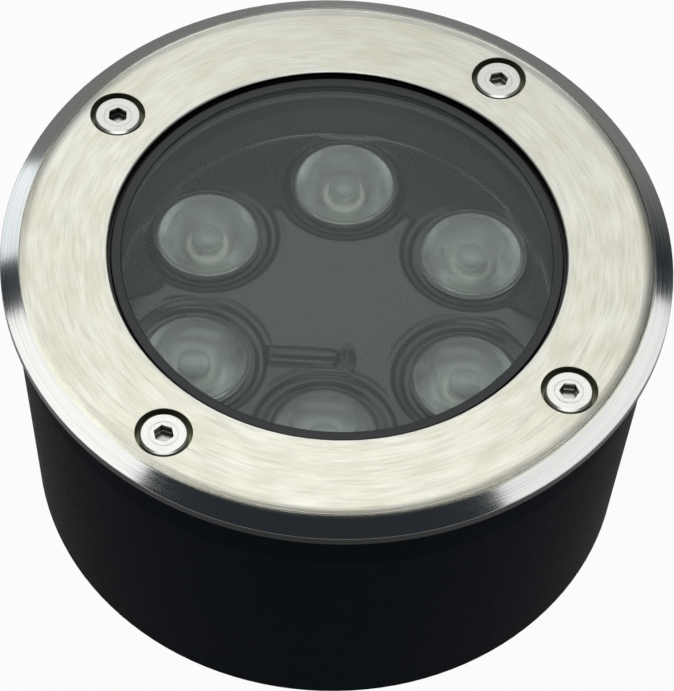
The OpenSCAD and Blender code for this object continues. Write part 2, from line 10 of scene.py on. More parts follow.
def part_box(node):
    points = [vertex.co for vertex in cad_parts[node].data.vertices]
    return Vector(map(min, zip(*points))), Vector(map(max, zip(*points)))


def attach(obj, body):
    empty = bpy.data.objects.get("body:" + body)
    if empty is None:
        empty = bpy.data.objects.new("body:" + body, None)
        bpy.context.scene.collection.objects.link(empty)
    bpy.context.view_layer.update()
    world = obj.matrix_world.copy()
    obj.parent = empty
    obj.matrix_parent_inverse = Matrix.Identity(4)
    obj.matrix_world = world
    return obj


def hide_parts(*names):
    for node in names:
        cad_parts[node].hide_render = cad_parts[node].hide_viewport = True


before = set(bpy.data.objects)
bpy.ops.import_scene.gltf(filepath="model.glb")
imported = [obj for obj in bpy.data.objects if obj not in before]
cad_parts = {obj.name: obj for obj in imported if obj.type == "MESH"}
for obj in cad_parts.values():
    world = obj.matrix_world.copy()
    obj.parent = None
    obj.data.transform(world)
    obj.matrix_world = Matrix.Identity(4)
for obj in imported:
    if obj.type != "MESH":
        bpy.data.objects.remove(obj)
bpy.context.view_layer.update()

MM = 0.001
FACE_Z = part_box("trim_ring")[1].z

# The camera, in degrees and metres from the centre of the ring's face.
CAMERA_DISTANCE = 0.77643
CAMERA_ELEVATION = 52.826
CAMERA_PAN = 0.073
CAMERA_TILT = 1.590
CAMERA_ROLL = -3.073
CAMERA_LENS = 181.88
SENSOR = 36.0

# Places on the lamp, in millimetres and degrees. A depth is measured down from the ring's face.
BORE_R = 50.4
SCREW_CIRCLE_R = 62.5
SCREW_TURN = 55.9

# The lenses. All but their circle is measured from a lens's own axis.
LENS_COUNT = 6
LENS_CIRCLE_R = 35.2
LENS_TURN = 88.7
LENS_SPIN = 0.7
LENS_RIM_DEPTH = 23.7
LENS_FLANGE_R = 12.7
LENS_FLANGE_T = 1.0
LENS_FLANGE_ROUND = 0.15
LENS_FOOT_DEPTH = 30.7
LENS_FOOT_R = 5.0
LENS_CONE_R = 10.7
LENS_CONE_BULGE = 0.55
LENS_POCKET_R = 3.2
LENS_POCKET_ROUND = 0.3
DOME_R = 12.1
DOME_H = 4.0
DOME_STEP = 0.1
DOME_SHOULDER = 0.5

# The glass and the gasket round it.
GLASS_R = 53.4
GLASS_DEPTH = 2.5
GLASS_T = 6.0
GASKET_R = 54.7
GASKET_TOP_DEPTH = 1.5
GASKET_FOOT_DEPTH = 9.5
GASKET_ROUND = 0.3
TOP_LIP_R = 48.1
FOOT_LIP_R = 49.0
GROOVE_R = 50.3
GROOVE_DROP = 0.7

# The resin's skin: a raised star, and round each lens a lip, a moat and a bank in it.
RESIN_STEP = 0.36
RESIN_BASE_DEPTH = 24.9
RESIN_FLOOR_DEPTH = 32.2
STAR_DEPTH = 24.1
STAR_FAR_R = 31.5
STAR_SIDE_GROWTH = 9.5
STAR_NEAR_GROWTH = 12.0
STAR_SLOPE = 1.6
HOLE_R = 12.45
SCALLOP_R = 16.1
LIP_WIDTH = 0.9
BANK_R = 14.6
BANK_WIDTH = 0.55
RELIEF_H = 0.24
MOAT_FLOOR_R = 13.6
MOAT_DROP = 0.7
MENISCUS_H = 0.9
MENISCUS_WIDTH = 0.55

# The splice under the resin.
SPLICE_Y = -14.8
SPLICE_FROM = -13.4
SPLICE_TO = -0.4
SPLICE_R = 2.9
SPLICE_DEPTH = 25.2
KNOT_X = 3.5
KNOT_H = 1.3
NECK_X = 1.2
NECK_H = 0.35
DIP_TO = 3.2
DIP_REACH = 4.7
DIP_DROP = 0.55

# Bands of the ring's finish, in metres from the lamp's axis.
BORE_BAND = (0.0515, 0.0517)
LIP_BAND = (0.0517, 0.0529)
ROLL_FALL = (0.0681, 0.0698)
ROLL_RISE = (0.0698, 0.0712)
ROLL_GLOSS = (0.0690, 0.0708)
BEVEL_BAND = (0.0707, 0.0712)
RIM_BAND = (0.0748, 0.0749)
# Places round a screw, in metres from the screw's own axis.
SOCKET_BAND = (0.0026, 0.0028)
SCORE_R = 0.0031
WELL_BAND = (0.0066, 0.0068)


class Recipe:
    """A node material being put together."""

    def __init__(self, name):
        self.material = bpy.data.materials.new(name)
        self.material.use_nodes = True
        self.tree = self.material.node_tree
        self.shader = self.tree.nodes["Principled BSDF"]
        self.output = self.tree.nodes["Material Output"]

    def node(self, kind, **settings):
        made = self.tree.nodes.new(kind)
        for key, value in settings.items():
            setattr(made, key, value)
        return made

    def link(self, source, target):
        self.tree.links.new(source, target)

    def feed(self, socket, value):
        """Sets a socket, or links it where the value is another socket."""
        if isinstance(value, bpy.types.NodeSocket):
            self.link(value, socket)
        else:
            socket.default_value = value

    def surface(self, **values):
        """Sets sockets of the main shader by name, with _ for a space."""
        for key, value in values.items():
            self.feed(self.shader.inputs[key.replace("_", " ")], value)

    def place(self):
        """The point on the piece, in metres."""
        return self.node("ShaderNodeTexCoord").outputs["Object"]

    def math(self, operation, first, second=0.0, clamp=False):
        made = self.node("ShaderNodeMath", operation=operation, use_clamp=clamp)
        self.feed(made.inputs[0], first)
        self.feed(made.inputs[1], second)
        return made.outputs[0]

    def split(self, vector):
        made = self.node("ShaderNodeSeparateXYZ")
        self.feed(made.inputs[0], vector)
        return made.outputs

    def join(self, x, y, z):
        made = self.node("ShaderNodeCombineXYZ")
        for socket, value in zip(made.inputs, (x, y, z)):
            self.feed(socket, value)
        return made.outputs[0]

    def noise(self, vector, scale, detail=3.0, roughness=0.5):
        made = self.node("ShaderNodeTexNoise")
        self.feed(made.inputs["Vector"], vector)
        made.inputs["Scale"].default_value = scale
        made.inputs["Detail"].default_value = detail
        made.inputs["Roughness"].default_value = roughness
        return made.outputs["Fac"]

    def cells(self, vector, scale):
        made = self.node("ShaderNodeTexVoronoi")
        self.feed(made.inputs["Vector"], vector)
        made.inputs["Scale"].default_value = scale
        return made.outputs["Distance"]

    def fit(self, value, low, high, to_low, to_high, smooth=False):
        """Maps low and high to two other values, and holds to them beyond."""
        made = self.node("ShaderNodeMapRange")
        made.interpolation_type = "SMOOTHSTEP" if smooth else "LINEAR"
        for socket, number in zip(made.inputs, (value, low, high, to_low, to_high)):
            self.feed(socket, number)
        return made.outputs[0]

    def rise(self, value, low, high, smooth=False):
        """0 up to low and 1 from high."""
        return self.fit(value, low, high, 0.0, 1.0, smooth)

    def fall(self, value, low, high, smooth=False):
        """1 up to low and 0 from high."""
        return self.fit(value, low, high, 1.0, 0.0, smooth)

    def sunk(self, height, shallow, deep, smooth=False):
        """0 down to a shallow depth under the ring's face and 1 from a deep one, in metres."""
        return self.fall(height, FACE_Z - deep, FACE_Z - shallow, smooth)

    def graded(self, texture, first, last):
        """A value that runs from first to last with a texture."""
        return self.fit(texture, 0.3, 0.7, first, last)

    def mix(self, share, first, second):
        made = self.node("ShaderNodeMix", data_type="RGBA")
        self.feed(made.inputs[0], share)
        self.feed(made.inputs[6], first)
        self.feed(made.inputs[7], second)
        return made.outputs[2]

    def tones(self, texture, colour, other, low=0.3, high=0.7):
        """A colour that runs to another with a texture."""
        return self.mix(self.rise(texture, low, high), (*colour, 1.0), (*other, 1.0))

    def blend(self, share, first, second):
        made = self.node("ShaderNodeMix", data_type="FLOAT")
        self.feed(made.inputs[0], share)
        self.feed(made.inputs[2], first)
        self.feed(made.inputs[3], second)
        return made.outputs[0]

    def bump(self, height, distance, strength=1.0):
        made = self.node("ShaderNodeBump")
        made.inputs["Strength"].default_value = strength
        made.inputs["Distance"].default_value = distance
        self.feed(made.inputs["Height"], height)
        self.link(made.outputs[0], self.shader.inputs["Normal"])

    def radius(self, point):
        """How far the point is from the axis that it is measured from, in metres."""
        x, y, _ = self.split(point)
        flat = self.join(x, y, 0.0)
        made = self.node("ShaderNodeVectorMath", operation="LENGTH")
        self.feed(made.inputs[0], flat)
        return made.outputs["Value"]

    def turned(self, point, along, across):
        """Coordinates that stretch a texture round the axis, with no seam."""
        x, y, z = self.split(point)
        flat = self.join(x, y, 0.0)
        made = self.node("ShaderNodeVectorMath", operation="NORMALIZE")
        self.feed(made.inputs[0], flat)
        cosine, sine, _ = self.split(made.outputs[0])
        reach = self.math("MULTIPLY", self.radius(point), across)
        drop = self.math("MULTIPLY", z, across)
        outward = self.math("ADD", reach, drop)
        return self.join(self.math("MULTIPLY", cosine, along), self.math("MULTIPLY", sine, along), outward)

    def replace_by(self, share, shader):
        """Shows another shader in place of the main one, by a share."""
        mixed = self.node("ShaderNodeMixShader")
        self.link(share, mixed.inputs[0])
        self.link(self.shader.outputs[0], mixed.inputs[1])
        self.link(shader.outputs[0], mixed.inputs[2])
        self.link(mixed.outputs[0], self.output.inputs["Surface"])

    def let_lamps_through(self, thick=False):
        """Shadow rays and bounced rays pass, so that the lamps reach what lies under the glass.

        Rays mirrored inside a thick piece don't pass, and keep to its own optics.
        """
        path = self.node("ShaderNodeLightPath")
        passing = self.math("MAXIMUM", path.outputs["Is Shadow Ray"], path.outputs["Is Diffuse Ray"])
        mirrored = self.math("SUBTRACT", path.outputs["Is Glossy Ray"], path.outputs["Is Transmission Ray"])
        if thick:
            inside = self.math("MODULO", path.outputs["Transmission Depth"], 2.0)
            mirrored = self.math("SUBTRACT", mirrored, inside, True)
        passing = self.math("MAXIMUM", passing, mirrored)
        self.replace_by(passing, self.node("ShaderNodeBsdfTransparent"))


def speckled(name, colour, other, scale, rough, metallic=0.0, grain=0.0, **more):
    """A solid finish whose colour, gloss and skin vary with two sizes of grain."""
    recipe = Recipe(name)
    point = recipe.place()
    broad = recipe.noise(point, scale, 4.0)
    fine = recipe.noise(point, scale * 9.0, 2.0)
    recipe.surface(Base_Color=recipe.tones(broad, colour, other))
    recipe.surface(Roughness=recipe.graded(fine, *rough), Metallic=metallic, **more)
    recipe.bump(recipe.blend(grain, broad, fine), 0.00002)
    return recipe.material


def screw_place(recipe, point):
    """The point measured from the axis of the nearest of the four screws."""
    turn = recipe.node("ShaderNodeVectorRotate", rotation_type="Z_AXIS")
    recipe.feed(turn.inputs["Vector"], point)
    turn.inputs["Angle"].default_value = math.radians(45.0 - SCREW_TURN)
    x, y, z = recipe.split(turn.outputs[0])
    corner = SCREW_CIRCLE_R * MM * math.sqrt(0.5)
    across = recipe.math("SUBTRACT", recipe.math("ABSOLUTE", x), corner)
    along = recipe.math("SUBTRACT", recipe.math("ABSOLUTE", y), corner)
    return recipe.join(across, along, z)


def shaded_steel(recipe, radius, height):
    """1 on the ring's bore under its face and on the lower part of its rim."""
    bore = recipe.math("MULTIPLY", recipe.fall(radius, *BORE_BAND), recipe.sunk(height, 0.0001, 0.0004))
    rim = recipe.math("MULTIPLY", recipe.rise(radius, *RIM_BAND), recipe.sunk(height, 0.0022, 0.0024))
    return recipe.math("MAXIMUM", bore, rim)


def rolled_edge(recipe, radius, depth):
    """Adds a dip to a bump's depth, which makes the roll before the bevel look wider."""
    dip_depth = 14.0
    falling = recipe.rise(radius, *ROLL_FALL, True)
    rising = recipe.rise(radius, *ROLL_RISE, True)
    dip = recipe.math("SUBTRACT", falling, rising)
    return recipe.math("SUBTRACT", depth, recipe.math("MULTIPLY", dip, dip_depth))


def brushed_stainless():
    """The ring: its face brushed round, its bevel turned bright and its opening's edge partly in the bevel's
    tone, with painted shade in its screw wells, on its bore and on its rim's lower edge.
    """
    scratch = (0.58, 0.57, 0.47, 1.0)
    # Painted shade: this dark olive colour darkens the screw wells for the shade deep inside them.
    painted_well_shade = (0.27, 0.27, 0.20, 1.0)
    shade = (0.009, 0.010, 0.010, 1.0)
    recipe = Recipe("brushed_stainless")
    point = recipe.place()
    radius = recipe.radius(point)
    height = recipe.split(point)[2]
    streaks = recipe.noise(recipe.turned(point, 8.0, 2100.0), 1.0, 5.0, 0.6)
    hairs = recipe.noise(recipe.turned(point, 40.0, 15000.0), 1.0, 2.0)
    clouds = recipe.noise(recipe.turned(point, 5.0, 240.0), 1.0, 4.0)
    lines = recipe.noise(recipe.turned(point, 1.6, 4200.0), 1.0, 3.0)
    bevel = recipe.rise(radius, *BEVEL_BAND, True)
    lip = recipe.math("MULTIPLY", recipe.fall(radius, *LIP_BAND, True), 0.4)
    dark = shaded_steel(recipe, radius, height)
    well = recipe.fall(recipe.radius(screw_place(recipe, point)), *WELL_BAND)
    well = recipe.math("MULTIPLY", well, recipe.sunk(height, 0.0001, 0.0004))

    warm = recipe.tones(clouds, (0.86, 0.845, 0.71), (0.94, 0.93, 0.83), 0.36, 0.64)
    worn = recipe.mix(recipe.fit(streaks, 0.36, 0.58, 0.28, 0.0), warm, scratch)
    turned = recipe.tones(lines, (0.74, 0.75, 0.73), (0.84, 0.85, 0.83))
    colour = recipe.mix(recipe.math("MAXIMUM", bevel, lip), worn, turned)
    # The screw wells take the painted shade colour.
    colour = recipe.mix(well, colour, painted_well_shade)
    recipe.surface(Base_Color=recipe.mix(dark, colour, shade), Metallic=1.0)

    face_gloss = recipe.fit(streaks, 0.25, 0.75, 0.46, 0.34)
    face_gloss = recipe.blend(recipe.rise(radius, *ROLL_GLOSS), face_gloss, 0.18)
    bevel_gloss = recipe.fit(lines, 0.25, 0.75, 0.13, 0.07)
    gloss = recipe.blend(bevel, face_gloss, bevel_gloss)
    recipe.surface(Roughness=recipe.blend(dark, gloss, 0.42), Anisotropic=0.4)
    tangent = recipe.node("ShaderNodeTangent", direction_type="RADIAL", axis="Z")
    recipe.link(tangent.outputs[0], recipe.shader.inputs["Tangent"])

    depth = recipe.blend(bevel, recipe.blend(0.3, streaks, hairs), lines)
    recipe.bump(rolled_edge(recipe, radius, depth), 0.00002, 0.5)
    return recipe.material


def screw_steel():
    """Machined heads with turning marks round each screw's own axis, and painted shade on the walls of the
    socket, whose floor is a lighter grey.
    """
    score = (0.45, 0.45, 0.43, 1.0)
    # Painted shade: the socket's walls are near black for the shade inside the hex.
    socket_shade = (0.035, 0.034, 0.030, 1.0)
    bottom = (0.45, 0.45, 0.42, 1.0)
    recipe = Recipe("screw_steel")
    own = screw_place(recipe, recipe.place())
    height = recipe.split(own)[2]
    radius = recipe.radius(own)
    marks = recipe.noise(recipe.turned(own, 1.2, 9000.0), 1.0, 3.0)
    off_score = recipe.math("ABSOLUTE", recipe.math("SUBTRACT", radius, SCORE_R))
    scored = recipe.fall(off_score, 0.0, 0.00022, True)
    inside = recipe.fall(radius, *SOCKET_BAND)
    inside = recipe.math("MULTIPLY", inside, recipe.sunk(height, 0.0006, 0.0010, True))
    pit = recipe.mix(recipe.sunk(height, 0.0023, 0.0024), socket_shade, bottom)
    head = recipe.tones(marks, (0.83, 0.83, 0.78), (0.75, 0.75, 0.71))
    head = recipe.mix(recipe.math("MULTIPLY", scored, 0.35), head, score)
    recipe.surface(Base_Color=recipe.mix(inside, head, pit), Metallic=1.0)
    recipe.surface(Roughness=recipe.blend(inside, recipe.graded(marks, 0.26, 0.36), 0.18))
    recipe.bump(recipe.math("SUBTRACT", marks, recipe.math("MULTIPLY", scored, 3.0)), 0.000012, 0.6)
    return recipe.material


def clear_glass():
    """Tempered glass with a faint grey green mirror.

    Its haze is drawn as an even glow, because a diffuse share leaves grain in the render.
    """
    recipe = Recipe("clear_glass")
    dust = recipe.noise(recipe.place(), 900.0, 3.0)
    tint = recipe.tones(dust, (0.90, 0.98, 0.96), (0.94, 1.0, 0.98))
    recipe.surface(Base_Color=tint, Transmission_Weight=1.0, IOR=1.5, Roughness=0.0)
    recipe.surface(Specular_Tint=(0.03, 0.035, 0.035, 1.0))
    recipe.surface(Emission_Color=(0.92, 1.0, 0.98, 1.0), Emission_Strength=0.018)
    recipe.let_lamps_through()
    return recipe.material


def lens_acrylic():
    """Slightly hazy moulded acrylic under a polished skin."""
    recipe = Recipe("lens_acrylic")
    flow = recipe.noise(recipe.place(), 260.0, 3.0)
    tint = recipe.tones(flow, (0.60, 0.64, 0.62), (0.68, 0.71, 0.695))
    recipe.surface(Base_Color=tint, Transmission_Weight=0.993, IOR=1.49, Roughness=0.23)
    recipe.surface(Coat_Weight=0.4, Coat_Roughness=0.03, Coat_IOR=1.49, Specular_Tint=(0.2, 0.2, 0.2, 1.0))
    recipe.let_lamps_through(thick=True)
    return recipe.material


def frosted_acrylic():
    """The beaded cone and pocket under the dome: milky in a band halfway down, clearer over and under it."""
    recipe = Recipe("frosted_acrylic")
    point = recipe.place()
    beads = recipe.cells(point, 1400.0)
    height = recipe.split(point)[2]
    clearing = recipe.fit(height, -0.0032, -0.0020, 0.62, 0.998, True)
    over_foot = recipe.rise(height, -0.0052, -0.0038, True)
    tint = recipe.tones(beads, (0.50, 0.55, 0.52), (0.60, 0.64, 0.61), 0.0, 0.7)
    recipe.surface(Base_Color=tint, IOR=1.49, Roughness=0.36)
    recipe.surface(Transmission_Weight=recipe.blend(over_foot, 0.955, clearing))
    recipe.bump(beads, 0.00004, 0.4)
    recipe.let_lamps_through(thick=True)
    return recipe.material


def dark_resin():
    """Cast potting resin: a glossy, slightly uneven skin over a dark grey body, with painted shade down in the
    moats.
    """
    recipe = Recipe("dark_resin")
    point = recipe.place()
    swirl = recipe.noise(point, 45.0, 3.0)
    off_moat = recipe.rise(recipe.split(point)[2], FACE_Z - 0.0256, FACE_Z - 0.0250)
    # Painted shade: the darker colour on the moats' floors stands for the shade down in them.
    low = recipe.tones(swirl, (0.010, 0.013, 0.012), (0.014, 0.017, 0.016))
    high = recipe.tones(swirl, (0.032, 0.039, 0.036), (0.038, 0.045, 0.041))
    recipe.surface(Base_Color=recipe.mix(off_moat, low, high), IOR=1.42)
    recipe.surface(Roughness=recipe.graded(swirl, 0.15, 0.21))
    recipe.bump(recipe.noise(point, 120.0, 0.0), 0.00006, 0.2)
    return recipe.material


def dark_silicone():
    """Moulded silicone, with painted light that makes it paler inside the glass, and a black line of painted
    shade against the ring.
    """
    # Painted light: a paler bluish tone on the gasket under the glass stands for light that the glass's edge
    # carries there.
    painted_inner_light = (0.085, 0.105, 0.108, 1.0)
    # Painted shade: a near black line where the gasket meets the ring, for the shadow in the gap there.
    painted_gap_shade = (0.003, 0.003, 0.003, 1.0)
    recipe = Recipe("dark_silicone")
    point = recipe.place()
    broad = recipe.noise(point, 300.0, 4.0)
    fine = recipe.noise(point, 2700.0, 2.0)
    inner = recipe.sunk(recipe.split(point)[2], 0.0016, 0.0019, True)
    in_gap_shade = recipe.rise(recipe.radius(point), 0.0500, 0.0502)
    skin = recipe.tones(broad, (0.016, 0.021, 0.024), (0.021, 0.026, 0.028))
    skin = recipe.mix(inner, skin, painted_inner_light)
    recipe.surface(Base_Color=recipe.mix(in_gap_shade, skin, painted_gap_shade))
    recipe.surface(Roughness=recipe.graded(fine, 0.34, 0.44))
    recipe.bump(broad, 0.00001, 0.4)
    return recipe.material


def cast_aluminium():
    """Die cast grey outside, dark coated inside the bore."""
    recipe = Recipe("cast_aluminium")
    point = recipe.place()
    grain = recipe.noise(point, 1500.0, 4.0)
    patches = recipe.noise(point, 90.0, 4.0)
    raw = recipe.tones(patches, (0.40, 0.41, 0.42), (0.52, 0.53, 0.54))
    coat = recipe.tones(patches, (0.028, 0.040, 0.037), (0.034, 0.046, 0.042))
    inside = recipe.fall(recipe.radius(point), 0.0509, 0.0512)
    above = recipe.rise(recipe.split(point)[2], FACE_Z - 0.040, FACE_Z - 0.038)
    coated = recipe.math("MULTIPLY", inside, above)
    recipe.surface(Base_Color=recipe.mix(coated, raw, coat))
    recipe.surface(Metallic=recipe.blend(coated, 0.85, 0.0))
    recipe.surface(Roughness=recipe.graded(grain, 0.42, 0.60))
    recipe.bump(recipe.math("MULTIPLY", grain, recipe.blend(coated, 1.0, 0.1)), 0.00008, 0.5)
    return recipe.material


def plated_brass():
    """Nickel plated gland with fine turning and a soft wear in the plating."""
    recipe = Recipe("plated_brass")
    point = recipe.place()
    marks = recipe.noise(recipe.turned(point, 2.0, 7000.0), 1.0, 2.0)
    wear = recipe.noise(point, 240.0, 4.0)
    colour = recipe.tones(wear, (0.66, 0.64, 0.59), (0.74, 0.70, 0.60), 0.35, 0.75)
    recipe.surface(Base_Color=colour, Metallic=1.0, Roughness=recipe.graded(marks, 0.22, 0.36))
    recipe.bump(marks, 0.00001, 0.5)
    return recipe.material


def finishes():
    """One material for each slot of the record."""
    return {
        "black_plastic": speckled(
            "black_plastic", (0.0016, 0.0032, 0.0056), (0.0024, 0.0042, 0.0066), 160.0, (0.50, 0.62),
            grain=0.8, Specular_IOR_Level=0.008,
        ),
        "cast_aluminium": cast_aluminium(),
        "brushed_stainless": brushed_stainless(),
        "screw_steel": screw_steel(),
        "clear_glass": clear_glass(),
        "dark_silicone": dark_silicone(),
        "dark_resin": dark_resin(),
        "lens_acrylic": lens_acrylic(),
        "black_nylon": speckled(
            "black_nylon", (0.020, 0.020, 0.021), (0.030, 0.030, 0.031), 500.0, (0.45, 0.6),
        ),
        "emitter_silicone": speckled(
            "emitter_silicone", (0.86, 0.87, 0.78), (0.92, 0.93, 0.85), 900.0, (0.25, 0.4), grain=0.4,
        ),
        "white_solder_mask": speckled(
            "white_solder_mask", (0.78, 0.79, 0.77), (0.84, 0.84, 0.82), 200.0, (0.3, 0.42), grain=0.6,
        ),
        "plain_aluminium": speckled(
            "plain_aluminium", (0.70, 0.71, 0.72), (0.78, 0.79, 0.80), 220.0, (0.3, 0.45),
            metallic=1.0, grain=0.7,
        ),
        "green_laminate": speckled(
            "green_laminate", (0.020, 0.16, 0.055), (0.030, 0.20, 0.075), 350.0, (0.3, 0.45), grain=0.5,
        ),
        "ferrite": speckled(
            "ferrite", (0.045, 0.045, 0.048), (0.075, 0.073, 0.072), 800.0, (0.6, 0.8), grain=0.7,
        ),
        "capacitor_film": speckled(
            "capacitor_film", (0.045, 0.070, 0.16), (0.060, 0.090, 0.20), 180.0, (0.25, 0.4), grain=0.3,
        ),
        "black_epoxy": speckled(
            "black_epoxy", (0.018, 0.018, 0.019), (0.028, 0.028, 0.029), 600.0, (0.5, 0.65),
        ),
        "red_insulation": speckled(
            "red_insulation", (0.50, 0.030, 0.020), (0.60, 0.045, 0.030), 400.0, (0.35, 0.5), grain=0.4,
        ),
        "black_insulation": speckled(
            "black_insulation", (0.018, 0.018, 0.019), (0.026, 0.026, 0.027), 400.0, (0.35, 0.5), grain=0.4,
        ),
        "shrink_tube": speckled(
            "shrink_tube", (0.022, 0.022, 0.024), (0.034, 0.034, 0.036), 260.0, (0.4, 0.6),
        ),
        "plated_brass": plated_brass(),
        "black_rubber": speckled(
            "black_rubber", (0.014, 0.014, 0.015), (0.022, 0.022, 0.023), 350.0, (0.6, 0.8), grain=0.6,
        ),
    }


def dress_nodes(made):
    """Gives each CAD node the finish of the slot that the record names for it."""
    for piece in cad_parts.values():
        for place in piece.material_slots:
            name = place.material.name.split(".")[0]
            place.material = made[name]


def ease(low, high, value):
    """0 up to low, 1 from high and a smooth rise between them."""
    share = np.clip((value - low) / (high - low), 0.0, 1.0)
    return share * share * (3.0 - 2.0 * share)


def ridge(value, middle, width):
    """A rounded ridge, 1 high at its middle."""
    return np.exp(-(((value - middle) / width) ** 2))


def lens_centres():
    turns = [math.radians(LENS_TURN + 360.0 / LENS_COUNT * index) for index in range(LENS_COUNT)]
    return [(LENS_CIRCLE_R * math.cos(turn), LENS_CIRCLE_R * math.sin(turn)) for turn in turns]


def add_piece(name, mesh, slot, *nodes):
    """Links a piece that stands for the CAD nodes."""
    made = bpy.data.objects.new(name, mesh)
    bpy.context.scene.collection.objects.link(made)
    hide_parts(*nodes)
    return made


def lathe(name, profile, segments):
    """A closed mesh from (radius, height) points in millimetres, turned about Z."""
    sharp_from = math.radians(40.0)
    vertices = []
    rows = []
    for radius, height in profile:
        if radius == 0.0:
            rows.append([len(vertices)] * segments)
            vertices.append((0.0, 0.0, height * MM))
            continue
        rows.append(list(range(len(vertices), len(vertices) + segments)))
        for step in range(segments):
            turn = 2.0 * math.pi * step / segments
            vertices.append((radius * MM * math.cos(turn), radius * MM * math.sin(turn), height * MM))
    faces = []
    for low, high in zip(rows, rows[1:]):
        for step in range(segments):
            after = (step + 1) % segments
            corners = [low[step], low[after], high[after], high[step]]
            faces.append(list(dict.fromkeys(corners)))
    mesh = bpy.data.meshes.new(name)
    mesh.from_pydata(vertices, [], faces)
    mesh.shade_smooth()
    mesh.set_sharp_from_angle(angle=sharp_from)
    return mesh


def arc(centre_r, centre_h, radius, first, last, steps):
    """Points of an arc in the (radius, height) plane, angles in degrees from outward."""
    points = []
    for step in range(steps + 1):
        turn = math.radians(first + (last - first) * step / steps)
        points.append((centre_r + radius * math.cos(turn), centre_h + radius * math.sin(turn)))
    return points


def cone_profile(foot, steps=10):
    """The reflecting cone, bulged a little, from the foot's height up to the seat."""
    points = []
    for step in range(1, steps + 1):
        share = step / steps
        bulge = LENS_CONE_BULGE * math.sin(math.pi * share)
        points.append((LENS_FOOT_R + (LENS_CONE_R - LENS_FOOT_R) * share + bulge, foot * (1.0 - share)))
    return points


def dome_profile(steps=26):
    """The dome's cap, from its edge to its crown."""
    cap_r = DOME_R - DOME_STEP
    cap_h = DOME_H - DOME_SHOULDER
    sphere_r = (cap_r * cap_r + cap_h * cap_h) / (2.0 * cap_h)
    edge = math.degrees(math.asin(cap_r / sphere_r))
    crown = arc(0.0, LENS_FLANGE_T + DOME_H - sphere_r, sphere_r, 90.0 - edge, 90.0, steps)
    return crown[:-1] + [(0.0, LENS_FLANGE_T + DOME_H)]


def lens_profile():
    """Pocket, foot, reflecting cone, flange and dome, from the pocket's middle; heights are above the seat."""
    foot = LENS_FLANGE_T + LENS_RIM_DEPTH - LENS_FOOT_DEPTH
    top = foot + LENS_POCKET_R
    flange_r = LENS_FLANGE_R - LENS_FLANGE_ROUND
    points = [(0.0, top - 0.5), (1.2, top - 0.38), (2.3, top - 0.1)]
    points += [(LENS_POCKET_R - LENS_POCKET_ROUND, top), (LENS_POCKET_R, top - LENS_POCKET_ROUND)]
    points += [(LENS_POCKET_R, foot), (LENS_FOOT_R, foot)]
    points += cone_profile(foot)
    points += arc(flange_r, LENS_FLANGE_ROUND, LENS_FLANGE_ROUND, -90.0, 0.0, 3)
    points += arc(flange_r, LENS_FLANGE_T - LENS_FLANGE_ROUND, LENS_FLANGE_ROUND, 0.0, 90.0, 4)
    points += [(DOME_R + 0.30, LENS_FLANGE_T), (DOME_R + 0.15, LENS_FLANGE_T - 0.3)]
    points += [(DOME_R, LENS_FLANGE_T - 0.25)]
    return points + dome_profile()


def make_lenses(polished, frosted):
    """Six collimating lenses: a polished dome over a frosted cone."""
    seat = 0.02 * MM
    mesh = lathe("lens_dome", lens_profile(), 96)
    mesh.materials.append(polished)
    mesh.materials.append(frosted)
    for face in mesh.polygons:
        if face.center.z < seat:
            face.material_index = 1
    level = FACE_Z - (LENS_RIM_DEPTH + LENS_FLANGE_T) * MM
    for index, (x, y) in enumerate(lens_centres(), 1):
        made = add_piece("lens_dome_%d" % index, mesh, "lens_acrylic", "lens_%d" % index)
        made.location = (x * MM, y * MM, level)
        made.rotation_euler.z = LENS_SPIN * index
        bpy.context.view_layer.update()
        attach(made, "lamp_unit")


def gasket_profile():
    """The gasket's section, from inside the glass's groove and back; heights are above the ring's face."""
    soft = GASKET_ROUND
    groove_top = -GLASS_DEPTH
    groove_foot = -(GLASS_DEPTH + GLASS_T)
    top = -GASKET_TOP_DEPTH
    foot = -GASKET_FOOT_DEPTH
    floor = top - GROOVE_DROP
    inner = GLASS_R + 0.05
    points = [(inner, groove_top), (TOP_LIP_R + soft, groove_top)]
    points += arc(TOP_LIP_R + soft, top - soft, soft, 180.0, 90.0, 5)
    points += [(GROOVE_R, top), (GROOVE_R + soft, floor), (GROOVE_R + 4.0 * soft, floor)]
    points += [(GROOVE_R + 5.0 * soft, top)]
    points += arc(GASKET_R - soft, top - soft, soft, 90.0, 0.0, 5)
    points += arc(GASKET_R - soft, foot + soft, soft, 0.0, -90.0, 5)
    points += arc(FOOT_LIP_R + soft, foot + soft, soft, -90.0, -180.0, 5)
    points += arc(FOOT_LIP_R + soft, groove_foot - soft, soft, 180.0, 90.0, 5)
    return points + [(inner, groove_foot), (inner, groove_top)]


def make_gasket(finish):
    """The U-shaped gasket round the glass, with soft lips and a shallow groove."""
    section = [(radius, FACE_Z / MM + height) for radius, height in reversed(gasket_profile())]
    mesh = lathe("soft_gasket", section, 160)
    mesh.materials.append(finish)
    made = add_piece("soft_gasket", mesh, "dark_silicone", "glass_gasket")
    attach(made, "glass_unit")


def star_reach(azimuth):
    """How far out the raised star goes: short arms at the far side, out to the wall at the near side."""
    degrees = np.degrees(azimuth) % 360.0
    off_far = np.abs((degrees - 90.0 + 180.0) % 360.0 - 180.0)
    sides = STAR_SIDE_GROWTH * ease(60.0, 88.0, off_far)
    return STAR_FAR_R + sides + STAR_NEAR_GROWTH * ease(86.0, 96.0, off_far)


